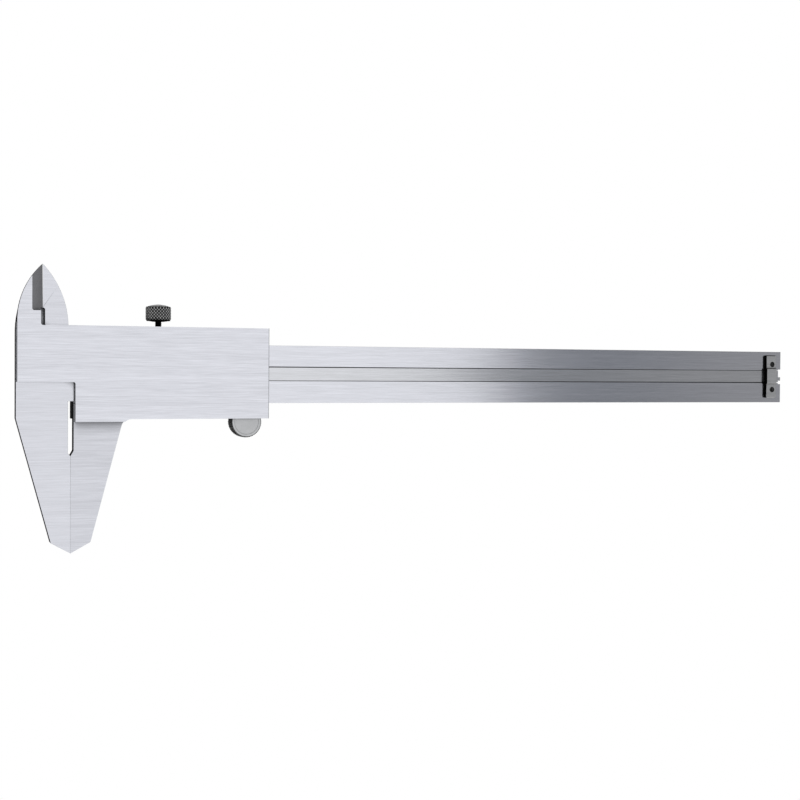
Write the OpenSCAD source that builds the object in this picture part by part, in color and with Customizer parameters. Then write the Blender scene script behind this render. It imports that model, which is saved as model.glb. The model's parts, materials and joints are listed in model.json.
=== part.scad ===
// Vernier caliper for lengths up to 150 mm, lying on its graduated side.
// Everything is laid out from the measuring line: x = 0 is the closed outside jaws' measuring plane,
// y = 0 the middle of the beam and z = 0 the slider's front face. placed() then moves the origin to
// the middle of the footprint.

/* [Beam] */
// Distance from the measuring faces to the beam's far end
beam_reach = 222.1; // [200:0.1:240]
// Height of the beam across its graduated face
beam_h = 16; // [14:0.5:18]
// Thickness of the beam and of the outside jaws
beam_t = 3.5; // [3:0.1:4]
// Distance from the measuring faces to the back of the head
head_back = 14.1; // [12:0.05:16]

/* [Jaws] */
// How far the outside jaws reach below the beam
jaw_reach = 39.9; // [34:0.1:44]
// Height of the inside jaws' tips above the middle of the beam
inside_tip_y = 28.7; // [26:0.1:31]
// Distance from the outside measuring plane back to the inside measuring line
inside_line = 7.24; // [6:0.01:8]
// Relief beside the outside measuring faces, on the fixed jaw
fixed_relief = 0.7; // [0.4:0.05:0.9]
// Relief beside the outside measuring faces, on the moving jaw
moving_relief = 0.8; // [0.6:0.05:1.2]

/* [Slider] */
// Distance from the measuring faces to the slider's far end
slider_reach = 53.6; // [50:0.05:58]
// Top edge of the slider above the middle of the beam
slider_top = 12.65; // [12:0.05:13.5]
// Bottom edge of the slider below the middle of the beam
slider_bottom = 12.2; // [12:0.05:13]
// Thickness of the slider's front wall
front_wall = 2.4; // [2:0.1:2.8]
// Thickness of the slider's rear plate
rear_plate = 2; // [1.6:0.1:2.4]

/* [Depth rod] */
// Width of the depth rod
rod_w = 3.6; // [3:0.1:4]
// Thickness of the depth rod
rod_t = 1.5; // [1.2:0.1:1.7]

/* [Lock screw] */
// Diameter of the knurled head
lock_head_d = 7; // [6:0.1:8]
// Height of the knurled head
lock_head_h = 4.65; // [4:0.05:5]
// Place of the lock screw along the slider
lock_x = 23.5; // [20:0.1:30]

/* [Thumb roller] */
// Diameter of the roller
roller_d = 8.6; // [7:0.05:9]
// Thickness of the roller
roller_t = 4.6; // [4:0.1:4.7]
// Place of the roller along the slider
roller_x = 47.8; // [46:0.1:48]
// Distance of the roller's axis below the middle of the beam
roller_y = 13.25; // [13:0.05:13.6]

/* [Hidden] */
$fn = 64;

// Sliding clearance between the beam and what runs on it
slip = 0.05;
// Reach past a face that a cut breaks through
past = 1;

beam_low = front_wall + slip;
beam_high = beam_low + beam_t;
beam_mid = beam_low + beam_t / 2;
plate_low = beam_high + slip;
plate_high = plate_low + rear_plate;
beam_top = beam_h / 2;

rod_y = 0.15;
rod_start = 7;
// The rod lies a hair out of line with its groove
rod_lean = 0.05;
rod_turn_x = 140;
groove_gap = 0.2;
groove_deep = rod_t + slip;
rod_nose_top = -0.1;
rod_nose_bottom = -1.2;
rod_nose_len = 2;
rod_pin_x = [12, 20];
rod_pin_r = 0.75;
rod_pin_cover = 0.6;
end_notch = 0.85;
notch_top = 2.4;
notch_bottom = 2.2;

slider_left = 0.55;
plate_step_x = 1;
shoulder_y = 2.35;
shoulder_corner = 0.5;
jaw_root_y = 12.9;
jaw_tip_y = beam_top + jaw_reach;
jaw_facet_y = 45;
jaw_facet_x = 5.27;
fixed_facet_x = 5.1;
heel_y = 12;
jaw_slope = 0.2625;
root_fillet = 2.5;
relief_end_y = 22;
relief_ramp = 1.4;
relief_top_y = 7.45;
// Slanting side of a jaw, and the centre of the fillet between it and the slider's bottom edge
function jaw_side(y) = jaw_facet_x + jaw_slope * (jaw_facet_y - y);
root_y = slider_bottom + root_fillet;
root_x = jaw_side(root_y) + root_fillet / cos(atan(jaw_slope));
thin_edge_y = 33;
thin_edge_w = 3.2;
thin_edge_d = 1.9;

inside_arc_y = 12;
moving_arc_x = 6.75;
moving_arc_y = 13.6;
moving_arc_r = 20.65;
fixed_arc_x = 24.9;
fixed_arc_r = 24.3;
inside_root_y = 17.3;
inside_slot_left = 7.9;
inside_slot_right = 6.65;
inside_slot_low = 12.55;
inside_slot_top = 17.2;
inside_slot_floor = 0.8;
inside_corner = 0.6;
head_arc_y = 10.5;
head_arc_r = 27;
bevel_w = 2.9;
bevel_end_y = 16.4;
bevel_corner = 0.5;

gib_t = 1;
channel_top = beam_top + 1.2;
gib_start = 4;
gib_len = 46;
gib_screw_x = [11, 44];
gib_screw_r = 1;
pad_r = 1.2;
pad_t = 0.6;
lock_bore_r = 1.25;
lock_neck_r = 0.82;
lock_head_y = 14.05;

window_left = 3.4;
window_right = 50.6;
window_half = 5.6;
pocket_half = 8.9;
pocket_deep = 1;
vernier_left = 4;
vernier_right = 50;
vernier_edge = 3.6;
vernier_slope_start = 6.4;
vernier_screw_x = [9, 41];
vernier_screw_y = 7.6;
vernier_screw_r = 0.6;
vernier_head_r = 1;

arm_pivot_x = 34.4;
arm_pivot_y = 10.75;
arm_low = 0.15;
arm_high = 0.95;
arm_top = 9.45;
arm_end_top = 10.8;
arm_bottom = 12.05;
arm_hub_r = 1.4;
arm_eye_r = 1.7;
arm_pocket_deep = 1.05;
arm_pocket_top = 9.25;
tail_start = 28.4;
tail_w = 0.4;
tail_y = 10.55;
tail_lip = 11.6;
head_deep = 0.45;
spindle_r = 0.75;
spindle_head_r = 1.1;
spindle_reach = 3;
arm_screw_r = 0.8;
arm_thread_r = 0.6;
roller_high = beam_high - 0.1;
roller_low = roller_high - roller_t;
roller_edge = 0.25;
roller_room = 0.35;
// The roller's rim reaches the beam when the arm is pressed up
roller_top = 7.9;

stop_left = 216.2;
stop_w = 3.5;
stop_right = stop_left + stop_w;
stop_t = 1.1;
stop_top = 6.9;
stop_bottom = 6.6;
stop_rise = 0.4;
stop_bridge_top = 2.6;
stop_bridge_bottom = 2;
stop_corner = 0.5;
stop_edge = 0.25;
stop_hole_floor = beam_low + 0.6;
stop_head_deep = 0.6;
stop_screw_x = 218.3;
stop_screw_y = [4, -3.95];
stop_screw_r = 0.6;
stop_head_r = 0.85;

middle_x = (beam_reach - head_back) / 2;
middle_y = (inside_tip_y - jaw_tip_y) / 2;

module placed() {
    translate([-middle_x, -middle_y, 0]) children();
}

// A flat layer between two heights
module layer(low, high) {
    translate([0, 0, low]) linear_extrude(high - low) children();
}

module box(x0, x1, y0, y1, z0, z1) {
    translate([x0, y0, z0]) cube([x1 - x0, y1 - y0, z1 - z0]);
}

// A round bar along y
module y_bar(x, y0, y1, z, r) {
    translate([x, y0, z]) rotate([-90, 0, 0]) cylinder(r = r, h = y1 - y0);
}

// A round bar along z
module z_bar(x, y, z0, z1, r) {
    translate([x, y, z0]) cylinder(r = r, h = z1 - z0);
}

function arc(cx, cy, r, from, to, steps) =
    [for (i = [0:steps]) let (a = from + (to - from) * i / steps) [cx + r * cos(a), cy + r * sin(a)]];

// Outside jaw: measuring face relieved above relief_end_y, slanting back, blunt facet at the tip
module fixed_jaw_outline() {
    polygon([
        [-head_back, -beam_top + past],
        [-head_back, -heel_y],
        [-fixed_facet_x, -jaw_facet_y],
        [0, -jaw_tip_y],
        [0, -relief_end_y],
        [-fixed_relief, -relief_end_y + relief_ramp / 2],
        [-fixed_relief, -beam_top + past]
    ]);
}

module moving_jaw_outline() {
    polygon(concat(
        [[0, -jaw_tip_y], [jaw_facet_x, -jaw_facet_y]],
        arc(root_x, -root_y, root_fillet, 180 - atan(jaw_slope), 90, 10),
        [
            [root_x, -beam_top - slip],
            [moving_relief, -beam_top - slip],
            [moving_relief, -relief_end_y + relief_ramp],
            [0, -relief_end_y]
        ]
    ));
}

// Thins an outside jaw's lower measuring edge from the front
module thin_edge(side) {
    depth = beam_low + thin_edge_d;
    translate([0, -thin_edge_y, 0]) rotate([90, 0, 0])
        linear_extrude(jaw_tip_y) polygon([
            [side * past, beam_low - past],
            [side * past, depth],
            [0, depth],
            [-side * thin_edge_w, beam_low],
            [-side * thin_edge_w, beam_low - past]
        ]);
}

// Inside jaw in the beam's layer, bevelled from the front to a knife edge
module fixed_inside_outline() {
    tip_angle = asin((inside_tip_y - inside_arc_y) / fixed_arc_r);
    head_angle = asin((inside_slot_top - head_arc_y) / head_arc_r);
    polygon(concat(
        arc(-fixed_arc_x, inside_arc_y, fixed_arc_r, 0, tip_angle, 16),
        [[-inside_line, inside_root_y]],
        arc(-head_back + head_arc_r, head_arc_y, head_arc_r, 180 - head_angle, 180, 8),
        [[-head_back, -beam_top], [-fixed_relief, -beam_top]]
    ));
}

module fixed_inside_bevel() {
    translate([0, inside_tip_y + past, 0]) rotate([90, 0, 0])
        linear_extrude(inside_tip_y + past - inside_root_y) polygon([
            [-inside_line - past, beam_low - past],
            [-inside_line - past, beam_high],
            [-inside_line, beam_high],
            [-inside_line + bevel_w, beam_low],
            [-inside_line + bevel_w, beam_low - past]
        ]);
}

// Blind relief slot at the root of the fixed inside jaw
module fixed_inside_slot() {
    layer(beam_low + inside_slot_floor, beam_high + past) polygon(concat(
        arc(-inside_slot_right - inside_corner, inside_slot_top - inside_corner, inside_corner, 0, 90, 6),
        [
            [-inside_slot_left, inside_slot_top],
            [-inside_slot_left, inside_arc_y],
            [-inside_slot_right, inside_arc_y]
        ]
    ));
}

module main_beam() color("lightgray") placed() difference() {
    groove_half = rod_w / 2 + groove_gap;
    union() {
        layer(beam_low, beam_high) fixed_jaw_outline();
        layer(beam_low, beam_high) fixed_inside_outline();
        box(-head_back, beam_reach, -beam_top, beam_top, beam_low, beam_high);
    }
    thin_edge(1);
    fixed_inside_bevel();
    fixed_inside_slot();
    // Undercut where the measuring face's relief meets the beam
    box(-fixed_relief, moving_relief, -beam_top - past, -relief_top_y, beam_low - past, beam_high + past);
    // Groove for the depth rod, open at the far end
    box(rod_start - 1, beam_reach + past, rod_y - groove_half, rod_y + groove_half,
        beam_high - groove_deep, beam_high + past);
    // Notch that shows the rod's end
    box(beam_reach - end_notch, beam_reach + past, -notch_bottom, notch_top, 0, beam_high + past);
    for (y = stop_screw_y)
        z_bar(stop_screw_x, y, stop_hole_floor, beam_high + past, stop_screw_r);
}

// Strap with two feet and a low bridge over the rod
module stop_plate() color("gray") placed() difference() {
    intersection() {
        translate([stop_left, 0, beam_high]) rotate([90, 0, 90]) linear_extrude(stop_w) polygon([
            [-stop_bottom, 0],
            [-stop_bridge_bottom + stop_edge, 0],
            [-stop_bridge_bottom + 2 * stop_edge, stop_rise],
            [stop_bridge_top - 2 * stop_edge, stop_rise],
            [stop_bridge_top - stop_edge, 0],
            [stop_top, 0],
            [stop_top, stop_t - stop_edge],
            [stop_top - stop_edge, stop_t],
            [stop_bridge_top + stop_edge, stop_t],
            [stop_bridge_top, stop_t + stop_rise],
            [-stop_bridge_bottom, stop_t + stop_rise],
            [-stop_bridge_bottom - stop_edge, stop_t],
            [-stop_bottom + stop_edge, stop_t],
            [-stop_bottom, stop_t - stop_edge]
        ]);
        layer(beam_high, plate_high) polygon(concat(
            arc(stop_right - stop_corner, stop_top - stop_corner, stop_corner, 0, 90, 6),
            arc(stop_left + stop_corner, stop_top - stop_corner, stop_corner, 90, 180, 6),
            arc(stop_left + stop_corner, -stop_bottom + stop_corner, stop_corner, 180, 270, 6),
            arc(stop_right - stop_corner, -stop_bottom + stop_corner, stop_corner, 270, 360, 6)
        ));
    }
    for (y = stop_screw_y) {
        z_bar(stop_screw_x, y, beam_high - past, beam_high + stop_t + past, stop_screw_r);
        z_bar(stop_screw_x, y, beam_high + stop_t - stop_head_deep, beam_high + stop_t + past, stop_head_r);
    }
}

// Slotted screws, heads sunk in the stop plate
module stop_screws() color("dimgray") placed() for (y = stop_screw_y) {
    head_low = beam_high + stop_t - stop_head_deep;
    difference() {
        union() {
            z_bar(stop_screw_x, y, beam_low + 0.8, head_low + 0.1, stop_screw_r);
            z_bar(stop_screw_x, y, head_low, head_low + 0.4, stop_head_r);
        }
        box(stop_screw_x - 0.12, stop_screw_x + 0.12, y - past, y + past, head_low + 0.2, head_low + past);
    }
}

// Rear plate's outline, with the moving inside jaw rising from its left end
module rear_outline() {
    tip_angle = asin((inside_tip_y - moving_arc_y) / moving_arc_r);
    step_angle = 180 - asin((root_y - jaw_root_y) / root_fillet);
    polygon(concat(
        [[moving_arc_x - moving_arc_r, -shoulder_y]],
        arc(plate_step_x - shoulder_corner, -shoulder_y - shoulder_corner, shoulder_corner, 90, 0, 6),
        [[plate_step_x, -jaw_root_y]],
        arc(root_x, -root_y, root_fillet, step_angle, 90, 6),
        [
            [slider_reach, -slider_bottom],
            [slider_reach, slider_top],
            [-inside_slot_right, slider_top],
            [-inside_slot_right, inside_slot_low]
        ],
        arc(-inside_slot_left + inside_corner, inside_slot_low + inside_corner, inside_corner, 270, 180, 6),
        [[-inside_slot_left, inside_slot_top], [-inside_line, inside_root_y]],
        arc(moving_arc_x, moving_arc_y, moving_arc_r, 180 - tip_angle, 180, 16)
    ));
}

module moving_inside_bevel() {
    intersection() {
        translate([0, inside_tip_y + past, 0]) rotate([90, 0, 0])
            linear_extrude(inside_tip_y + past - bevel_end_y) polygon([
                [-inside_line + past, plate_high + past],
                [-inside_line + past, plate_low],
                [-inside_line, plate_low],
                [-inside_line - bevel_w, plate_high],
                [-inside_line - bevel_w, plate_high + past]
            ]);
        layer(plate_low - past, plate_high + 2 * past) polygon(concat(
            arc(-inside_line - bevel_w + bevel_corner, bevel_end_y + bevel_corner, bevel_corner, 180, 270, 6),
            [
                [-inside_line + past, bevel_end_y],
                [-inside_line + past, inside_tip_y + past],
                [-inside_line - bevel_w, inside_tip_y + past]
            ]
        ));
    }
}

// Room for the roller through the bottom wall
module roller_slot() {
    half = roller_d / 2 + roller_room;
    box(roller_x - half, roller_x + half, -slider_bottom - past, -roller_top, arm_pocket_deep - 0.01,
        plate_low);
}

// Room for the arm that carries the roller, milled into the front face
module arm_pocket() {
    box(arm_pivot_x - arm_hub_r - 0.1, slider_reach + past, -slider_bottom - past, -arm_pocket_top,
        -past, arm_pocket_deep);
    box(tail_start - 0.3, arm_pivot_x, -tail_lip, -tail_y + slip, -past, arm_pocket_deep);
    z_bar(arm_pivot_x, -arm_pivot_y, 0, front_wall + past, arm_thread_r);
}

module slider_body() color("gainsboro") placed() difference() {
    union() {
        box(slider_left, slider_reach, -slider_bottom, slider_top, 0, plate_low);
        layer(plate_low, plate_high) rear_outline();
        layer(beam_low, beam_high) moving_jaw_outline();
        // Step between the jaw and the rear plate above it
        box(moving_relief, jaw_side(jaw_root_y), -jaw_root_y, -beam_top - past, beam_mid, plate_low);
    }
    // Channel for the beam, with room for the strip above it
    box(slider_left - past, slider_reach + past, -beam_top - slip, channel_top, front_wall, plate_low);
    // The jaw's layer is cut back to the relief beside the fixed jaw
    box(slider_left - past, moving_relief, -slider_bottom - past, -beam_top + past, front_wall, plate_low);
    thin_edge(-1);
    moving_inside_bevel();
    // Window over the graduations, and the pockets that the vernier plates lie in
    box(window_left, window_right, -window_half, window_half, -past, front_wall + past);
    box(vernier_left - 0.1, vernier_right + 0.1, -pocket_half, pocket_half, -past, pocket_deep);
    for (x = vernier_screw_x, side = [-1, 1])
        z_bar(x, side * vernier_screw_y, pocket_deep - past, front_wall + past, vernier_screw_r);
    // Tapped holes in the top wall
    y_bar(lock_x, channel_top - past, slider_top + past, beam_mid, lock_bore_r);
    for (x = gib_screw_x)
        y_bar(x, channel_top - past, slider_top + past, beam_mid, gib_screw_r);
    for (x = rod_pin_x)
        z_bar(x, rod_y, plate_low - past, plate_high - rod_pin_cover, rod_pin_r);
    roller_slot();
    arm_pocket();
}

// Vernier plate with a bevelled edge that runs down to the graduated face
module vernier(side) {
    difference() {
        translate([vernier_left, 0, 0]) rotate([90, 0, 90])
            linear_extrude(vernier_right - vernier_left) polygon([
                [side * (pocket_half - slip), arm_low],
                [side * (pocket_half - slip), pocket_deep],
                [side * (window_half - slip), pocket_deep],
                [side * (window_half - slip), front_wall],
                [side * vernier_edge, front_wall],
                [side * vernier_edge, front_wall - 0.25],
                [side * vernier_slope_start, arm_low]
            ]);
        for (x = vernier_screw_x) {
            z_bar(x, side * vernier_screw_y, -past, front_wall, vernier_screw_r);
            z_bar(x, side * vernier_screw_y, -past, 0.6, vernier_head_r);
        }
    }
}

module metric_vernier() color("whitesmoke") placed() vernier(-1);
module inch_vernier() color("whitesmoke") placed() vernier(1);

module vernier_screws() color("silver") placed() for (x = vernier_screw_x, side = [-1, 1]) {
    y = side * vernier_screw_y;
    difference() {
        union() {
            z_bar(x, y, 0.5, front_wall - 0.1, vernier_screw_r);
            z_bar(x, y, 0.2, 0.6, vernier_head_r);
        }
        box(x - past, x + past, y - 0.12, y + 0.12, 0, 0.38);
    }
}

module gib_strip() color("goldenrod") placed()
    box(gib_start, gib_start + gib_len, beam_top + slip, beam_top + slip + gib_t, beam_low + 0.2,
        beam_high - 0.2);

module gib_screws() color("dimgray") placed() for (x = gib_screw_x) difference() {
    y_bar(x, beam_top + slip + gib_t + 0.01, slider_top - 0.5, beam_mid, gib_screw_r);
    box(x - past, x + past, slider_top - 1.1, slider_top, beam_mid - 0.15, beam_mid + 0.15);
}

module depth_rod() color("lightgray") placed() difference() {
    rod_low = beam_high - rod_t;
    translate([rod_turn_x, rod_y, 0]) rotate([0, 0, rod_lean]) translate([-rod_turn_x, -rod_y, 0]) {
        box(rod_start, beam_reach - end_notch, rod_y - rod_w / 2, rod_y + rod_w / 2, rod_low, beam_high);
        // Narrow nose that meets the bottom of a hole
        box(beam_reach - rod_nose_len, beam_reach - slip, rod_nose_bottom, rod_nose_top, rod_low, beam_high);
    }
    for (x = rod_pin_x)
        z_bar(x, rod_y, beam_low, plate_high, rod_pin_r);
}

module rod_pins() color("silver") placed() for (x = rod_pin_x)
    z_bar(x, rod_y, beam_high - rod_t, plate_high - rod_pin_cover, rod_pin_r);

module lock_pad() color("gold") placed()
    y_bar(lock_x, beam_top + slip + gib_t + 0.02, beam_top + slip + gib_t + 0.02 + pad_t, beam_mid, pad_r);

// Knurled head with chamfered edges on a thin neck; the threaded end stands on the pad
module lock_screw() color("#303030") placed() {
    tip = beam_top + slip + gib_t + 0.03 + pad_t;
    neck = slider_top - 0.4;
    head_r = lock_head_d / 2;
    translate([lock_x, 0, beam_mid]) rotate([-90, 0, 0]) rotate_extrude() polygon([
        [0, tip],
        [pad_r, tip],
        [pad_r, neck],
        [lock_neck_r, neck],
        [lock_neck_r, lock_head_y],
        [head_r - 1, lock_head_y],
        [head_r - 0.25, lock_head_y + 0.35],
        [head_r, lock_head_y + 0.8],
        [head_r, lock_head_y + lock_head_h - 1.2],
        [head_r - 0.3, lock_head_y + lock_head_h - 0.6],
        [head_r - 1.2, lock_head_y + lock_head_h - 0.2],
        [0, lock_head_y + lock_head_h]
    ]);
}

// Arm in the front pocket: a hub, a link that narrows towards the roller's eye, and a thin springy
// tail that bears on the pocket's lip and holds the arm down
module roller_arm() color("darkgray") placed() difference() {
    arm_end = roller_x + arm_eye_r;
    union() {
        z_bar(arm_pivot_x, -arm_pivot_y, arm_low, arm_high, arm_hub_r);
        z_bar(roller_x, -roller_y, arm_low, arm_high, arm_eye_r);
        layer(arm_low, arm_high) polygon([
            [arm_pivot_x, -arm_bottom],
            [roller_x - arm_eye_r, -arm_bottom],
            [roller_x - arm_eye_r, -roller_y],
            [arm_end, -roller_y],
            [arm_end, -arm_end_top],
            [arm_pivot_x, -arm_top]
        ]);
        box(tail_start, arm_pivot_x, -tail_y - tail_w, -tail_y, arm_low, arm_high);
    }
    z_bar(arm_pivot_x, -arm_pivot_y, -past, front_wall, arm_screw_r + slip);
    z_bar(arm_pivot_x, -arm_pivot_y, -past, head_deep, spindle_head_r + 0.1);
    z_bar(roller_x, -roller_y, -past, front_wall, spindle_r + slip);
    z_bar(roller_x, -roller_y, -past, head_deep, spindle_head_r + 0.1);
}

// Shouldered screw that the arm turns on
module arm_screw() color("silver") placed() difference() {
    union() {
        z_bar(arm_pivot_x, -arm_pivot_y, arm_low, head_deep - slip, spindle_head_r);
        z_bar(arm_pivot_x, -arm_pivot_y, arm_low, arm_pocket_deep, arm_screw_r);
        z_bar(arm_pivot_x, -arm_pivot_y, arm_low, front_wall - 0.1, arm_thread_r);
    }
    box(arm_pivot_x - 0.12, arm_pivot_x + 0.12, -arm_pivot_y - 2, -arm_pivot_y + 2, 0, arm_low + 0.15);
}

module thumb_roller() color("darkgray") placed() {
    rim_r = roller_d / 2;
    translate([roller_x, -roller_y, 0]) rotate_extrude() polygon([
        [spindle_r, roller_low],
        [rim_r - roller_edge, roller_low],
        [rim_r, roller_low + roller_edge],
        [rim_r, roller_high - roller_edge],
        [rim_r - roller_edge, roller_high],
        [0, roller_high],
        [0, roller_low + spindle_reach],
        [spindle_r, roller_low + spindle_reach]
    ]);
}

// Spindle pressed into the roller's blind bore, its far end riveted over in the arm's eye
module roller_spindle() color("silver") placed()
    translate([roller_x, -roller_y, 0]) {
        translate([0, 0, arm_low]) cylinder(r = spindle_r, h = roller_low + spindle_reach - arm_low);
        translate([0, 0, arm_low]) cylinder(r = spindle_head_r, h = head_deep - slip - arm_low);
    }

main_beam();
stop_plate();
stop_screws();
slider_body();
metric_vernier();
inch_vernier();
vernier_screws();
gib_strip();
gib_screws();
depth_rod();
rod_pins();
arm_screw();
lock_pad();
lock_screw();
roller_arm();
thumb_roller();
roller_spindle();
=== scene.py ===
import json
from math import atan2, cos, hypot, pi, radians, sin

import bpy
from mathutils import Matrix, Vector


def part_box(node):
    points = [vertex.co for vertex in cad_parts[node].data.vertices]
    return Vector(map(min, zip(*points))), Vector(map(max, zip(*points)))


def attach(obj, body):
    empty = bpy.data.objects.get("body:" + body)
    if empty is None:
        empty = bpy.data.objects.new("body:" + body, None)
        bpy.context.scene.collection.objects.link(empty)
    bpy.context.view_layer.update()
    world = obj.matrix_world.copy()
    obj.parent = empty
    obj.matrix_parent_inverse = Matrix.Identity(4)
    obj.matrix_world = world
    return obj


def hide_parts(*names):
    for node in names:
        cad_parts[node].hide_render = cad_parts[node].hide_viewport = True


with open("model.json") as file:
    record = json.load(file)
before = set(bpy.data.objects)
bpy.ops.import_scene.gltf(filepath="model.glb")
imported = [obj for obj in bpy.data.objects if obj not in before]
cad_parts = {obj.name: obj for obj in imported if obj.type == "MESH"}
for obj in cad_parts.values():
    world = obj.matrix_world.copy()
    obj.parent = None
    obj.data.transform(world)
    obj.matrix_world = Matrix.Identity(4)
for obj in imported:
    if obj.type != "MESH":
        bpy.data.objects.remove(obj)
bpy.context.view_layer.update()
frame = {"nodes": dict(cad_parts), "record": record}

mm = 0.001
beamReach = 222.1  # measuring faces to the beam's far end, mm
beamLow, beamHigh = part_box("main_beam")
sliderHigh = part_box("slider_body")[1]
zeroX = beamHigh.x - beamReach * mm  # closed measuring faces
midY = (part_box("metric_vernier")[0].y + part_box("inch_vernier")[1].y) / 2  # middle of the beam


def place(x, y, z):
    return Vector((zeroX + x * mm, midY + y * mm, z * mm))


def deselectAll():
    bpy.ops.object.select_all(action="DESELECT")


def pick(obj):
    deselectAll()
    obj.select_set(True)
    bpy.context.view_layer.objects.active = obj


def rename(obj, name):
    obj.name = name
    obj.data.name = name
    return obj


def applyAll(obj):
    pick(obj)
    for modifier in list(obj.modifiers):
        bpy.ops.object.modifier_apply(modifier=modifier.name)


def applyPlace(obj):
    pick(obj)
    bpy.ops.object.transform_apply(location=True, rotation=True, scale=True)


def joinAll(objects, name):
    deselectAll()
    for obj in objects:
        obj.select_set(True)
    bpy.context.view_layer.objects.active = objects[0]
    if len(objects) > 1:
        bpy.ops.object.join()
    return rename(bpy.context.view_layer.objects.active, name)


def choose(obj, kind, test):
    # Leaves edit mode on, with only the faces, edges or points selected that pass the test
    bpy.ops.object.mode_set(mode="EDIT")
    bpy.ops.mesh.select_mode(type=kind)
    bpy.ops.mesh.select_all(action="DESELECT")
    bpy.ops.object.mode_set(mode="OBJECT")
    parts = {"FACE": obj.data.polygons, "EDGE": obj.data.edges, "VERT": obj.data.vertices}[kind]
    for part in parts:
        part.select = test(part)
    bpy.ops.object.mode_set(mode="EDIT")


def leaveEdit():
    bpy.ops.object.mode_set(mode="OBJECT")


def stepFace(rise, scale):
    # Draws the selected faces along z and resizes them about the axis
    bpy.ops.mesh.extrude_region_move(TRANSFORM_OT_translate={"value": (0, 0, rise * mm)})
    bpy.ops.transform.resize(value=(scale, scale, 1), center_override=(0, 0, 0))


def growProfile(profile, radius):
    # The profile lists each step's rise and new radius, mm
    for rise, newRadius in profile:
        stepFace(rise, newRadius / radius)
        radius = newRadius


cameraPlace = {
    "fromZero": (-48.0, 2.2, 388.2),  # mm from the measuring faces, the beam's middle and the floor
    "turn": (-1.32, -20.24, 0.44),  # degrees about x, y and z, z first
    "lens": 63.79,
}


def makeCamera():
    bpy.ops.object.camera_add(location=place(*cameraPlace["fromZero"]))
    camera = bpy.context.object
    camera.name = "camera"
    camera.rotation_mode = "ZXY"
    camera.rotation_euler = [radians(angle) for angle in cameraPlace["turn"]]
    camera.data.lens = cameraPlace["lens"]
    camera.data.clip_start = 0.01
    bpy.context.scene.camera = camera
    print("camera set")


studio = {
    "floorSize": 80.0,
    "overheadHeight": 1.0,
    "overheadLeft": -1.0,
    "overheadRight": 0.47,  # the beam's far end reflects what is past this edge
    "overheadDepth": 1.6,
    "overheadGlow": 0.79,  # brightness of the light's own face
    "sky": [  # height of the direction, -1 straight down to 1 straight up, and its colour
        (-1.0, (0.06, 0.06, 0.06)),
        (-0.8, (0.06, 0.06, 0.06)),
        (-0.5, (0.45, 0.45, 0.45)),
        (0.0, (0.62, 0.62, 0.62)),
        (0.6, (0.62, 0.62, 0.62)),
        (0.78, (0.345, 0.35, 0.36)),
        (0.84, (0.345, 0.35, 0.36)),
        (0.87, (0.21, 0.225, 0.25)),
    ],
    "fillPower": 2.0,  # the two fills light the front from below
    "fillHeight": -0.9,
    "fillAside": 0.9,
    "fillSize": (1.6, 0.7),
}


def makeFloor():
    bpy.ops.mesh.primitive_plane_add(size=studio["floorSize"], location=(0, 0, 0))
    floor = bpy.context.object
    floor.name = "floor"
    applyPlace(floor)
    floor.visible_glossy = False
    floor.visible_diffuse = False
    floor.visible_shadow = False
    material = bpy.data.materials.new("floorWhite")
    material.use_nodes = True
    nodes, links = material.node_tree.nodes, material.node_tree.links
    nodes.clear()
    output = nodes.new("ShaderNodeOutputMaterial")
    side = nodes.new("ShaderNodeNewGeometry")
    top = nodes.new("ShaderNodeEmission")  # shadowless pale floor from above
    under = nodes.new("ShaderNodeBsdfTransparent")  # open from below
    mix = nodes.new("ShaderNodeMixShader")
    links.new(side.outputs["Backfacing"], mix.inputs["Fac"])
    links.new(top.outputs["Emission"], mix.inputs[1])
    links.new(under.outputs["BSDF"], mix.inputs[2])
    links.new(mix.outputs["Shader"], output.inputs["Surface"])
    floor.data.materials.append(material)
    print("floor laid")


def addSoftbox(name, location, aim, width, depth, power):
    bpy.ops.object.light_add(type="AREA", location=location)
    lamp = bpy.context.object
    lamp.name = name
    lamp.data.shape = "RECTANGLE"
    lamp.data.size = width
    lamp.data.size_y = depth
    lamp.data.energy = power
    lamp.rotation_euler = (Vector(aim) - Vector(location)).to_track_quat("-Z", "Y").to_euler()
    return lamp


def makeLight():
    width = studio["overheadRight"] - studio["overheadLeft"]
    middle = (studio["overheadRight"] + studio["overheadLeft"]) / 2
    area = width * studio["overheadDepth"]
    height = studio["overheadHeight"]
    addSoftbox("overhead", (middle, 0, height), (middle, 0, 0), width, studio["overheadDepth"],
               studio["overheadGlow"] * pi * area)
    for name, side in (("fillJaws", -1), ("fillKnob", 1)):
        spot = (0, side * studio["fillAside"], studio["fillHeight"])
        addSoftbox(name, spot, (0, 0, 0), *studio["fillSize"], studio["fillPower"] * pi)
    world = bpy.data.worlds.new("studio")
    world.use_nodes = True
    bpy.context.scene.world = world
    nodes, links = world.node_tree.nodes, world.node_tree.links
    background = nodes["Background"]
    ramp = nodes.new("ShaderNodeValToRGB")
    stops = ramp.color_ramp.elements  # a new ramp has two
    for index, (height, colour) in enumerate(studio["sky"]):
        spot = (height + 1) / 2
        stop = stops[index] if index < 2 else stops.new(spot)
        stop.position = spot
        stop.color = [*colour, 1]
    upward = alongAxis(nodes, links, "Generated", "Z")
    links.new(spread(nodes, links, upward, 0.0, 1.0, -1.0, 1.0), ramp.inputs["Fac"])
    links.new(ramp.outputs["Color"], background.inputs["Color"])
    bpy.context.scene.view_settings.view_transform = "Standard"
    print("lights and world set")


def startMaterial(name):
    material = bpy.data.materials.new(name)
    material.use_nodes = True
    nodes, links = material.node_tree.nodes, material.node_tree.links
    return material, nodes, links, nodes["Principled BSDF"]


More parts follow.
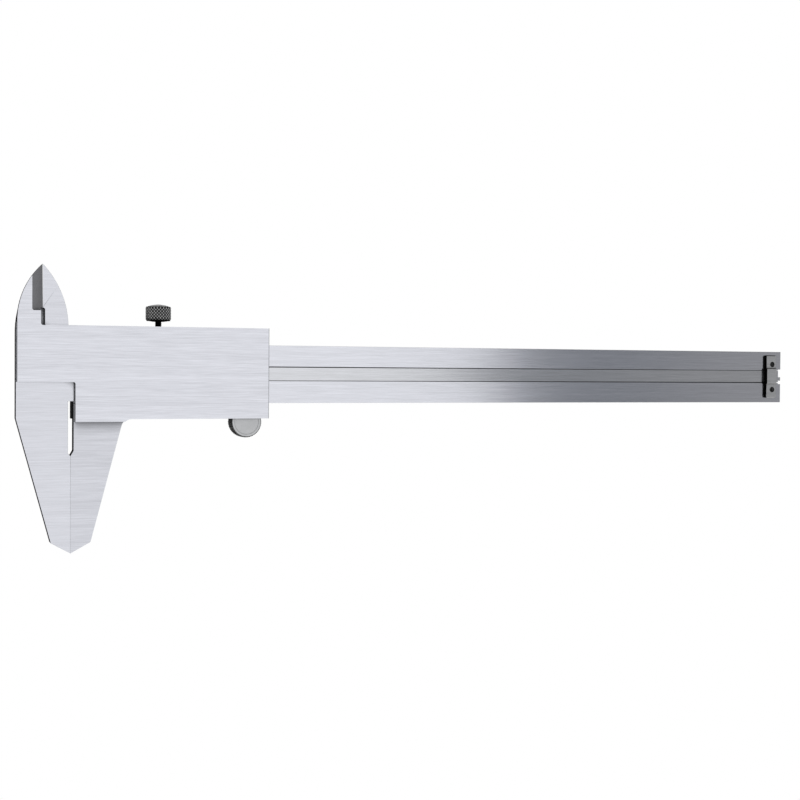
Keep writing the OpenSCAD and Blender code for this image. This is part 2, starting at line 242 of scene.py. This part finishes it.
def alongAxis(nodes, links, space, axis):
    # One axis of the place (Object), of the facing (Normal) or of the sky's direction (Generated)
    coords = nodes.new("ShaderNodeTexCoord")
    split = nodes.new("ShaderNodeSeparateXYZ")
    links.new(coords.outputs[space], split.inputs["Vector"])
    return split.outputs[axis]


def combine(nodes, links, operation, first, second):
    # The second is another output or a plain number
    step = nodes.new("ShaderNodeMath")
    step.operation = operation
    links.new(first, step.inputs[0])
    if isinstance(second, float):
        step.inputs[1].default_value = second
    else:
        links.new(second, step.inputs[1])
    return step.outputs["Value"]


def stretchedNoise(nodes, links, scale, detail=3.0, roughness=0.6):
    coords = nodes.new("ShaderNodeTexCoord")
    stretch = nodes.new("ShaderNodeMapping")
    stretch.inputs["Scale"].default_value = scale
    noise = nodes.new("ShaderNodeTexNoise")
    noise.inputs["Scale"].default_value = 1.0
    noise.inputs["Detail"].default_value = detail
    noise.inputs["Roughness"].default_value = roughness
    links.new(coords.outputs["Object"], stretch.inputs["Vector"])
    links.new(stretch.outputs["Vector"], noise.inputs["Vector"])
    return noise.outputs["Fac"]


def spread(nodes, links, value, low, high, fromLow=0.3, fromHigh=0.7):
    # Stretches a value to run from low to high
    step = nodes.new("ShaderNodeMapRange")
    step.inputs["From Min"].default_value = fromLow
    step.inputs["From Max"].default_value = fromHigh
    step.inputs["To Min"].default_value = low
    step.inputs["To Max"].default_value = high
    links.new(value, step.inputs["Value"])
    return step.outputs["Result"]


def tint(nodes, links, value, dark, light):
    # Turns a value into a colour
    ramp = nodes.new("ShaderNodeValToRGB")
    ramp.color_ramp.elements[0].position = 0.3
    ramp.color_ramp.elements[1].position = 0.7
    ramp.color_ramp.elements[0].color = [*dark, 1]
    ramp.color_ramp.elements[1].color = [*light, 1]
    links.new(value, ramp.inputs["Fac"])
    return ramp.outputs["Color"]


def blendValues(nodes, links, first, second, share):
    mix = nodes.new("ShaderNodeMix")
    mix.inputs["Factor"].default_value = share
    links.new(first, mix.inputs["A"])
    links.new(second, mix.inputs["B"])
    return mix.outputs["Result"]


def darken(nodes, links, colour, amount):
    # Multiplies a colour by a value from 0 to 1
    mix = nodes.new("ShaderNodeMix")
    mix.data_type = "RGBA"
    mix.blend_type = "MULTIPLY"
    mix.inputs["Factor"].default_value = 1.0
    links.new(colour, mix.inputs["A"])
    links.new(amount, mix.inputs["B"])
    return mix.outputs["Result"]


def crevices(nodes, links, reach, darkest, openFrom=0.35, openTo=1.0):
    # Painted shade: darker where surfaces come close together, from their ambient occlusion
    closeness = nodes.new("ShaderNodeAmbientOcclusion")
    closeness.samples = 16
    closeness.inputs["Distance"].default_value = reach * mm
    return spread(nodes, links, closeness.outputs["AO"], darkest, 1.0, openFrom, openTo)


def dullSides(nodes, links, sideLevel, sideTo, flatFrom, slantShare=3.0):
    # Painted shade: upright sides are darkened, standing in for the dark surroundings they reflect; flat
    # faces and the jaws' slanting sides keep their full brightness
    upright = nodes.new("ShaderNodeMath")
    upright.operation = "ABSOLUTE"
    links.new(alongAxis(nodes, links, "Normal", "Z"), upright.inputs[0])
    slant = combine(nodes, links, "MULTIPLY", alongAxis(nodes, links, "Normal", "Y"), -slantShare)
    bright = combine(nodes, links, "MAXIMUM", upright.outputs["Value"], slant)
    return spread(nodes, links, bright, sideLevel, 1.0, sideTo, flatFrom)


def darkEnds(nodes, links, level):
    # Painted shade: ends that face back towards the jaws are darkened, standing in for the dark surroundings
    # they reflect
    return spread(nodes, links, alongAxis(nodes, links, "Normal", "X"), level, 1.0, -0.6, -0.3)


def fadeAlong(nodes, links, axis, level, start, end):
    # From level at one place to full brightness at another, along one axis of the piece
    return spread(nodes, links, alongAxis(nodes, links, "Object", axis), level, 1.0, start, end)


def satinFront(nodes, links, rough, extra):
    # The graduated front is satin chrome, so that the scales can be read
    front = spread(nodes, links, alongAxis(nodes, links, "Normal", "Z"), extra, 0.0, -0.9, -0.6)
    return combine(nodes, links, "ADD", rough, front)


def bumpFrom(nodes, links, height, strength):
    bump = nodes.new("ShaderNodeBump")
    bump.inputs["Strength"].default_value = strength
    bump.inputs["Distance"].default_value = 0.01 * mm
    links.new(height, bump.inputs["Height"])
    return bump.outputs["Normal"]


groundLook = {  # what a ground piece has unless its own finish says otherwise
    "grain": 130,  # more makes the grinding lines shorter
    "bandShare": 0.35,
    "reach": 2.2,  # how near surfaces must come for the painted crevice shade, mm
    "creviceShadeLevel": 0.12,
    "open": (0.35, 1.0),
    # side and end: how dark the painted shade leaves upright sides and the ends that face the jaws
    "side": 0.28,
    "end": 0.25,
    "roughWander": 0.015,
    "bump": 0.25,
}


def groundSteel(name, look):
    # Grinding lines along x, broad rubbed patches and a little bump; painted shade in crevices, on upright
    # sides and on the ends that face the jaws
    look = {**groundLook, **look}
    material, nodes, links, surface = startMaterial(name)
    surface.inputs["Metallic"].default_value = 1.0
    hairlines = stretchedNoise(nodes, links, (look["grain"], 3600, 3600))
    bands = stretchedNoise(nodes, links, (look["grain"] / 10, 900, 900))
    grain = blendValues(nodes, links, hairlines, bands, look["bandShare"])
    shade = tint(nodes, links, grain, look["dark"], look["light"])
    shade = darken(nodes, links, shade, crevices(nodes, links, look["reach"], look["creviceShadeLevel"], *look["open"]))
    shade = darken(nodes, links, shade, dullSides(nodes, links, look["side"], 0.8, 0.98))
    endShade = darkEnds(nodes, links, look["end"])
    shade = darken(nodes, links, shade, endShade)
    links.new(endShade, surface.inputs["Specular Tint"])  # the painted shade also dims their reflection at a glancing angle
    if "fade" in look:
        shade = darken(nodes, links, shade, fadeAlong(nodes, links, *look["fade"]))
    links.new(shade, surface.inputs["Base Color"])
    rubbed = stretchedNoise(nodes, links, (25, 60, 60))
    rough = spread(nodes, links, blendValues(nodes, links, grain, rubbed, 0.5),
                   look["rough"] - look["roughWander"], look["rough"] + look["roughWander"])
    if "satinFront" in look:
        rough = satinFront(nodes, links, rough, look["satinFront"])
    links.new(rough, surface.inputs["Roughness"])
    normal = bumpFrom(nodes, links, hairlines, look["bump"])
    if "lean" in look:
        # A long thin piece never lies quite flat, so it reflects from a little further along
        lean = nodes.new("ShaderNodeVectorMath")
        lean.operation = "ADD"
        lean.inputs[1].default_value = (look["lean"], 0, 0)
        unit = nodes.new("ShaderNodeVectorMath")
        unit.operation = "NORMALIZE"
        links.new(normal, lean.inputs[0])
        links.new(lean.outputs["Vector"], unit.inputs[0])
        normal = unit.outputs["Vector"]
    links.new(normal, surface.inputs["Normal"])
    return material


def turnedSteel(name, look, centre):
    # Fine rings left by turning, round an axis along z
    material, nodes, links, surface = startMaterial(name)
    surface.inputs["Metallic"].default_value = 1.0
    coords = nodes.new("ShaderNodeTexCoord")
    centred = nodes.new("ShaderNodeMapping")
    centred.inputs["Location"].default_value = (-centre[0], -centre[1], 0)
    links.new(coords.outputs["Object"], centred.inputs["Vector"])
    rings = nodes.new("ShaderNodeTexWave")
    rings.wave_type = "RINGS"
    rings.rings_direction = "Z"
    rings.inputs["Scale"].default_value = look["ringScale"]
    rings.inputs["Distortion"].default_value = 1.5
    rings.inputs["Detail"].default_value = 2.0
    rings.inputs["Detail Scale"].default_value = 300.0
    links.new(centred.outputs["Vector"], rings.inputs["Vector"])
    patches = stretchedNoise(nodes, links, (350, 350, 350), 3.0, 0.5)
    grain = blendValues(nodes, links, rings.outputs["Fac"], patches, 0.6)
    shade = tint(nodes, links, grain, look["dark"], look["light"])
    # Painted shade in crevices and on the sloping sides
    shade = darken(nodes, links, shade, crevices(nodes, links, 0.6, 0.5))
    shade = darken(nodes, links, shade, dullSides(nodes, links, look["side"], 0.75, 0.98, 0.0))
    links.new(shade, surface.inputs["Base Color"])
    links.new(spread(nodes, links, grain, look["rough"] - 0.06, look["rough"] + 0.06),
              surface.inputs["Roughness"])
    links.new(bumpFrom(nodes, links, rings.outputs["Fac"], 0.2), surface.inputs["Normal"])
    return material


def blackOxide(name, look):
    # Blued steel, worn through a little in patches, with painted shade in its crevices
    material, nodes, links, surface = startMaterial(name)
    surface.inputs["Metallic"].default_value = 1.0
    patches = stretchedNoise(nodes, links, (900, 900, 900), 4.0)
    shade = tint(nodes, links, patches, look["dark"], look["light"])
    shade = darken(nodes, links, shade, crevices(nodes, links, 0.4, 0.25))
    links.new(shade, surface.inputs["Base Color"])
    links.new(spread(nodes, links, patches, look["rough"] - 0.08, look["rough"] + 0.1),
              surface.inputs["Roughness"])
    links.new(bumpFrom(nodes, links, patches, 0.3), surface.inputs["Normal"])
    return material


def wornKnurl(name, look, axis):
    # Blackened knurl whose points are rubbed bright and whose valleys are darkened with painted shade, by
    # distance from the screw's axis along y
    material, nodes, links, surface = startMaterial(name)
    surface.inputs["Metallic"].default_value = 1.0
    coords = nodes.new("ShaderNodeTexCoord")
    centred = nodes.new("ShaderNodeMapping")
    centred.inputs["Location"].default_value = (-axis[0], 0, -axis[1])
    centred.inputs["Scale"].default_value = (1, 0, 1)
    radius = nodes.new("ShaderNodeVectorMath")
    radius.operation = "LENGTH"
    links.new(coords.outputs["Object"], centred.inputs["Vector"])
    links.new(centred.outputs["Vector"], radius.inputs[0])
    height = spread(nodes, links, radius.outputs["Value"], 0.0, 1.0, look["valley"] * mm, look["peak"] * mm)
    patches = stretchedNoise(nodes, links, (900, 900, 900), 4.0)
    wearAndShade = blendValues(nodes, links, height, patches, 0.25)
    links.new(tint(nodes, links, wearAndShade, look["dark"], look["light"]), surface.inputs["Base Color"])
    links.new(spread(nodes, links, wearAndShade, look["rough"] + 0.08, look["rough"] - 0.08),
              surface.inputs["Roughness"])
    return material


def markPaint(name):
    # Black paint wiped into engraved lines
    material, nodes, links, surface = startMaterial(name)
    patches = stretchedNoise(nodes, links, (1500, 1500, 1500))
    links.new(tint(nodes, links, patches, grey(0.008), grey(0.03)), surface.inputs["Base Color"])
    surface.inputs["Roughness"].default_value = 0.6
    return material


def grey(level, blue=0.0):
    return (level, level, level + blue)


finishes = {
    # The fades make the fixed jaw duller than the beam, and paint shade on the moving jaw, which lies below
    # its plate
    "beam": {"dark": grey(0.64, 0.03), "light": grey(0.77, 0.04), "rough": 0.155, "reach": 3.0, "bump": 0.1,
             "roughWander": 0.005, "creviceShadeLevel": 0.03, "open": (0.1, 0.6), "satinFront": 0.45,
             "fade": ("X", 0.95, zeroX, zeroX + 40 * mm)},
    "slider": {"dark": grey(0.6, 0.03), "light": grey(0.78, 0.04), "rough": 0.18, "reach": 4.0,
               "creviceShadeLevel": 0.1, "open": (0.4, 1.0), "satinFront": 0.4,
               "fade": ("Z", 0.91, 6.5 * mm, 7.5 * mm)},
    "rod": {"dark": grey(0.61, 0.01), "light": grey(0.73, 0.02), "rough": 0.175, "reach": 1.0, "bump": 0.1,
            "roughWander": 0.005, "creviceShadeLevel": 0.05, "open": (0.1, 0.6), "lean": 0.016},
    "stop": {"dark": grey(0.48), "light": grey(0.66), "rough": 0.35, "grain": 300, "side": 0.08},
    "arm": {"dark": grey(0.5), "light": grey(0.65), "rough": 0.3},
    "vernier": {"dark": grey(0.7), "light": grey(0.8), "rough": 0.4, "bump": 0.1, "side": 0.8},
    "roller": {"dark": grey(0.46), "light": grey(0.61), "rough": 0.38, "ringScale": 1800, "side": 0.15},
    "screw": {"dark": grey(0.45), "light": grey(0.65), "rough": 0.3},
    "black": {"dark": grey(0.02), "light": grey(0.09), "rough": 0.38},
    "crown": {"dark": grey(0.06), "light": grey(0.18), "rough": 0.4},
    "knurl": {"dark": grey(0.01), "light": grey(0.6), "rough": 0.4, "valley": 3.22, "peak": 3.44},
    "bronze": {"dark": (0.45, 0.28, 0.11), "light": (0.62, 0.42, 0.2), "rough": 0.35},
    "brass": {"dark": (0.6, 0.44, 0.16), "light": (0.78, 0.6, 0.28), "rough": 0.3},
}


def makeFinishes():
    rollerLow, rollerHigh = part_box("thumb_roller")
    rollerMiddle = ((rollerLow.x + rollerHigh.x) / 2, (rollerLow.y + rollerHigh.y) / 2)
    lockLow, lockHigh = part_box("lock_screw")
    lockAxis = ((lockLow.x + lockHigh.x) / 2, (lockLow.z + lockHigh.z) / 2)
    finished = {
        "beam_steel": groundSteel("beamSteel", finishes["beam"]),
        "slider_steel": groundSteel("sliderSteel", finishes["slider"]),
        "rod_steel": groundSteel("rodSteel", finishes["rod"]),
        "stop_steel": groundSteel("stopSteel", finishes["stop"]),
        "arm_steel": groundSteel("armSteel", finishes["arm"]),
        "vernier_steel": groundSteel("vernierChrome", finishes["vernier"]),
        "roller_steel": turnedSteel("rollerSteel", finishes["roller"], rollerMiddle),
        "screw_steel": groundSteel("screwSteel", finishes["screw"]),
        "black_oxide": blackOxide("blackOxide", finishes["black"]),
        "bronze": groundSteel("rolledBronze", finishes["bronze"]),
        "pad_brass": groundSteel("padBrass", finishes["brass"]),
        "crown": blackOxide("wornCrown", finishes["crown"]),
        "knurl": wornKnurl("wornKnurl", finishes["knurl"], lockAxis),
        "marks": markPaint("markPaint"),
    }
    print("finishes made:", len(finished))
    return finished


def paint(obj, slotName):
    obj.data.materials.clear()
    obj.data.materials.append(made[slotName])
    return obj


def paintNodes():
    for part in frame["record"]["subparts"]:
        paint(frame["nodes"][part["node"]], part["material_slot"])
    print("CAD nodes painted:", len(frame["nodes"]))


def dress(piece, body, slotName, *nodes):
    paint(piece, slotName)
    if nodes:
        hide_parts(*nodes)
    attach(piece, body)
    return piece


softEdges = {
    "main_beam": {"body": "beam", "slot": "beam_steel", "width": 0.07},
    "slider_body": {"body": "slider", "slot": "slider_steel", "width": 0.07, "endChamfer": 0.15},
    "depth_rod": {"body": "slider", "slot": "rod_steel", "width": 0.05},
    "stop_plate": {"body": "beam", "slot": "stop_steel", "width": 0.1},
}
edgeWork = {
    "mergeWithin": 0.002,  # mm
    "flatWithin": 0.5,  # degrees, like the next two
    "sharpFrom": 35,
    "smoothUnder": 30,
    "endZone": 0.02,  # how near the slider's end its chamfered edge is, mm
}


def softenEdges():
    # Ground parts with their sharp edges broken
    for node, look in softEdges.items():
        pick(frame["nodes"][node])
        bpy.ops.object.duplicate()
        piece = rename(bpy.context.object, node.split("_")[0] + "Softened")
        piece.parent = None
        bpy.ops.object.mode_set(mode="EDIT")
        bpy.ops.mesh.select_mode(type="VERT")
        bpy.ops.mesh.select_all(action="SELECT")
        bpy.ops.mesh.remove_doubles(threshold=edgeWork["mergeWithin"] * mm)
        bpy.ops.mesh.dissolve_limited(angle_limit=radians(edgeWork["flatWithin"]))
        leaveEdit()
        if "endChamfer" in look:
            far = sliderHigh - Vector((1, 0, 1)) * edgeWork["endZone"] * mm
            choose(piece, "EDGE", lambda edge: all(
                piece.data.vertices[index].co.x > far.x and piece.data.vertices[index].co.z > far.z
                for index in edge.vertices))
            bpy.ops.mesh.bevel(offset=look["endChamfer"] * mm, segments=1)
            leaveEdit()
        bevel = piece.modifiers.new("edges", "BEVEL")
        bevel.width = look["width"] * mm
        bevel.segments = 2
        bevel.limit_method = "ANGLE"
        bevel.angle_limit = radians(edgeWork["sharpFrom"])
        bevel.use_clamp_overlap = True
        applyAll(piece)
        bpy.ops.object.shade_smooth_by_angle(angle=radians(edgeWork["smoothUnder"]))
        flats = piece.modifiers.new("flats", "WEIGHTED_NORMAL")  # keeps the big faces flat to the light
        flats.keep_sharp = True
        flats.weight = 100
        applyAll(piece)
        for key in [key for key in piece.keys() if key.startswith("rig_")]:
            del piece[key]  # the copy is a new piece, not the CAD node
        dress(piece, look["body"], look["slot"], node)
        print("edges softened:", node, len(piece.data.polygons), "faces")


lockLook = {
    "columns": 24,
    "rows": 4,
    "valley": 3.25,  # radius between the knurl's diamonds
    "knurl": 0.24,  # how far a diamond stands up
    "gripLow": 14.6,
    "gripHigh": 18.1,
    "gripTop": 3.0,  # the crown starts to rise here
    "top": [(0.2, 2.6), (0.2, 1.8), (0.12, 1.0), (0.08, 0.5)],
    "foot": [(-0.35, 2.8), (-0.2, 1.6), (0.0, 0.9)],
    "footIn": 2.6,  # the grip's first slope is knurled too, down to this radius
    "neck": 0.9,
    "neckEnd": 12.25,
    "threadRoot": 0.78,
    "threadPitch": 0.45,
    "shank": 1.2,
    "tipChamfer": 0.15,
}


def makeLockScrew():
    low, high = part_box("lock_screw")
    look = lockLook
    grip = look["gripHigh"] - look["gripLow"]
    deselectAll()
    bpy.ops.mesh.primitive_cylinder_add(vertices=look["columns"], radius=look["valley"] * mm, depth=grip * mm,
                                        location=(0, 0, (look["gripLow"] + grip / 2) * mm))
    screw = rename(bpy.context.object, "lockScrew")
    applyPlace(screw)
    for row in range(1, look["rows"]):
        choose(screw, "FACE", lambda face: True)
        bpy.ops.mesh.bisect(plane_co=(0, 0, (look["gripLow"] + grip * row / look["rows"]) * mm),
                            plane_no=(0, 0, 1))
    choose(screw, "FACE", lambda face: face.normal.z > 0.9)
    stepFace(0.0, 1.0)  # a ring with no height, so that the top row's half diamonds stand up too
    growProfile([(0.0, look["gripTop"])] + look["top"], look["valley"])
    choose(screw, "FACE", lambda face: face.normal.z < -0.9)
    growProfile(look["foot"], look["valley"])
    # Threaded neck, then the shank that stands in the bore
    tip = (low.y - midY) / mm
    footEnd = look["gripLow"] + sum(rise for rise, radius in look["foot"])
    half = look["threadPitch"] / 2
    neckSteps = round((footEnd - look["neckEnd"]) / look["threadPitch"])
    growProfile([(-half, look["threadRoot"]), (-half, look["neck"])] * neckSteps + [(0.0, look["shank"])],
                look["neck"])
    reached = footEnd - neckSteps * look["threadPitch"]
    shank, chamfer = look["shank"], look["tipChamfer"]
    growProfile([(tip - reached + chamfer, shank), (-chamfer, shank - chamfer)], shank)
    # Diamonds: every quad of the grip is poked, and the old edges between them dissolved
    knurlFrom = look["footIn"] * mm
    choose(screw, "FACE", lambda face: abs(face.normal.z) < 0.85
           and hypot(face.center.x, face.center.y) > knurlFrom)
    leaveEdit()
    corners = len(screw.data.vertices)
    bpy.ops.object.mode_set(mode="EDIT")
    bpy.ops.mesh.poke(offset=0)
    leaveEdit()
    fans = {}
    for face in screw.data.polygons:
        if len(face.vertices) == 3 and max(face.vertices) >= corners:
            for key in face.edge_keys:
                fans[key] = fans.get(key, 0) + 1
    choose(screw, "EDGE", lambda edge: max(edge.vertices) < corners and fans.get(edge.key, 0) == 2)
    bpy.ops.mesh.dissolve_edges(use_verts=False)
    choose(screw, "FACE", lambda face: len(face.vertices) == 4 and max(face.vertices) >= corners)
    bpy.ops.mesh.poke(offset=look["knurl"] * mm)
    bpy.ops.mesh.select_all(action="SELECT")
    bpy.ops.mesh.dissolve_degenerate(threshold=0.001 * mm)  # what is left of the ring
    leaveEdit()
    crownFrom = (look["gripHigh"] - 0.05) * mm  # the flat top and all above it
    choose(screw, "FACE", lambda face: face.center.z > crownFrom)
    leaveEdit()
    crown = [face.index for face in screw.data.polygons if face.select]
    screw.rotation_euler = (-pi / 2, 0, 0)
    screw.location = ((low.x + high.x) / 2, midY, (low.z + high.z) / 2)
    applyPlace(screw)
    dress(screw, "lock", "black_oxide", "lock_screw")
    paint(screw, "knurl")
    screw.data.materials.append(made["crown"])
    for index in crown:
        screw.data.polygons[index].material_index = 1
    print("lock screw knurled:", len(screw.data.polygons), "faces")


rollerLook = {
    "teeth": 56,
    "toothDeep": 0.14,
    "edge": 0.33,  # slope between rim and faces
    "bore": 0.76,
    "boreDeep": 3.0,
    "rimWidth": 0.55,  # raised ring round the face
    "dish": 0.05,
    "dishWall": 0.08,
}


def makeRoller():
    low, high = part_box("thumb_roller")
    look = rollerLook
    radius = (high.x - low.x) / 2 / mm
    thick = (high.z - low.z) / mm
    inner = radius - look["edge"]
    deselectAll()
    bpy.ops.mesh.primitive_cylinder_add(vertices=2 * look["teeth"], radius=radius * mm,
                                        depth=(thick - 2 * look["edge"]) * mm)
    roller = rename(bpy.context.object, "thumbRoller")
    choose(roller, "FACE", lambda face: face.normal.z > 0.9)
    growProfile([(look["edge"], inner), (0.0, inner - look["rimWidth"]),
                 (-look["dish"], inner - look["rimWidth"] - look["dishWall"])], radius)
    choose(roller, "FACE", lambda face: face.normal.z < -0.9)
    growProfile([(-look["edge"], inner), (0.0, look["bore"]), (look["boreDeep"], look["bore"])], radius)
    # Every second line of points round the rim is pushed in for the teeth
    pitch = pi / look["teeth"]
    rim = (radius - 0.01) * mm  # only the rim's points are further out
    choose(roller, "VERT", lambda point: hypot(point.co.x, point.co.y) > rim
           and round(atan2(point.co.y, point.co.x) / pitch) % 2 == 1)
    squeeze = 1 - look["toothDeep"] / radius
    bpy.ops.transform.resize(value=(squeeze, squeeze, 1), center_override=(0, 0, 0))
    leaveEdit()
    roller.location = (low + high) / 2
    applyPlace(roller)
    dress(roller, "roller", "roller_steel", "thumb_roller")
    print("roller knurled:", len(roller.data.polygons), "faces")


scaleLook = {
    "scaleZero": 7.0,  # reading zero from the measuring faces, mm
    "lineWidth": 0.11,
    "lineThick": 0.02,
    "metricLines": [(1, 151, 3.9, 1.9), (5, 31, 1.9, 1.4), (10, 16, 1.4, 0.9)],
    "inchLines": [(0.635, 241, 3.9, 2.2), (2.54, 61, 2.2, 1.6), (25.4, 7, 1.6, 0.9)],
    "metricNumbers": (16, 10.0),  # how many and how far apart
    "inchNumbers": (7, 25.4),
    "numberSize": 1.5,
    "numberAside": 1.0,  # from its line, and from the beam's middle
    "vernierLines": (1.2, 1.7),  # short and long
    "vernierNumberSize": 1.2,
    "vernierNumberUp": 2.45,
    "bevelEdge": 3.6,  # where the vernier's bevel meets the beam
    "bevelEdgeHigh": 2.15,
    "bevelTilt": 35.5,  # degrees
    "metricVernier": {"pitch": 1.95, "lines": 21, "longEvery": 2, "numbers": range(0, 11), "step": 2},
    "inchVernier": {"pitch": 1.2446, "lines": 26, "longEvery": 5, "numbers": range(0, 26, 5), "step": 1},
}


def addLine(size, location, tilt=0.0):
    bpy.ops.mesh.primitive_cube_add(size=1, location=location, scale=size)
    line = bpy.context.object
    line.rotation_euler = (tilt, 0, 0)
    applyPlace(line)
    return line


def repeatLine(line, pitch, count):
    row = line.modifiers.new("row", "ARRAY")
    row.count = count
    row.use_relative_offset = False
    row.use_constant_offset = True
    row.constant_offset_displace = (pitch * mm, 0, 0)
    applyAll(line)
    return line


def addNumber(text, size, location, tilt=0.0):
    # Faces down and reads along -x, as the front is seen from below
    bpy.ops.object.text_add(location=location, rotation=(tilt, pi, 0))
    number = bpy.context.object
    number.data.body = text
    number.data.size = size * mm
    number.data.align_x = "CENTER"
    number.data.align_y = "CENTER"
    number.data.extrude = 0.01 * mm
    number.data.resolution_u = 3
    pick(number)
    bpy.ops.object.convert(target="MESH")
    applyPlace(number)
    return number


def markBeam():
    look = scaleLook
    zero = look["scaleZero"]
    front = beamLow.z / mm
    marks = []
    for side, lines in ((-1, look["metricLines"]), (1, look["inchLines"])):
        for pitch, count, outer, inner in lines:
            size = (look["lineWidth"] * mm, (outer - inner) * mm, look["lineThick"] * mm)
            line = addLine(size, place(zero, side * (outer + inner) / 2, front))
            marks.append(repeatLine(line, pitch, count))
    aside = look["numberAside"]
    for side, (count, apart) in ((-1, look["metricNumbers"]), (1, look["inchNumbers"])):
        for value in range(count):
            spot = place(zero + apart * value - aside, side * aside, front)
            marks.append(addNumber(str(value), look["numberSize"], spot))
    scales = joinAll(marks, "beamScales")
    dress(scales, "beam", "black_oxide")
    paint(scales, "marks")
    print("beam graduated:", len(scales.data.polygons), "faces")


def markVernier(name, side, look):
    tilt = radians(scaleLook["bevelTilt"])
    turn = -side * tilt
    size = scaleLook["lineWidth"] * mm
    zero = scaleLook["scaleZero"]

    def onBevel(x, along):
        # along is the distance up the bevel from its edge
        return place(x, side * (scaleLook["bevelEdge"] + along * cos(tilt)),
                     scaleLook["bevelEdgeHigh"] - along * sin(tilt))

    marks = []
    for every, length in zip((1, look["longEvery"]), scaleLook["vernierLines"]):
        count = (look["lines"] - 1) // every + 1
        line = addLine((size, length * mm, scaleLook["lineThick"] * mm), onBevel(zero, length / 2), turn)
        marks.append(repeatLine(line, look["pitch"] * every, count))
    for value in look["numbers"]:
        spot = onBevel(zero + value * look["step"] * look["pitch"], scaleLook["vernierNumberUp"])
        marks.append(addNumber(str(value), scaleLook["vernierNumberSize"], spot, turn))
    vernier = joinAll(marks, name)
    dress(vernier, "slider", "black_oxide")
    paint(vernier, "marks")
    print(name, "graduated:", len(vernier.data.polygons), "faces")


makeCamera()
makeFloor()
makeLight()
made = makeFinishes()
paintNodes()
softenEdges()
makeLockScrew()
makeRoller()
markBeam()
markVernier("metricScale", -1, scaleLook["metricVernier"])
markVernier("inchScale", 1, scaleLook["inchVernier"])
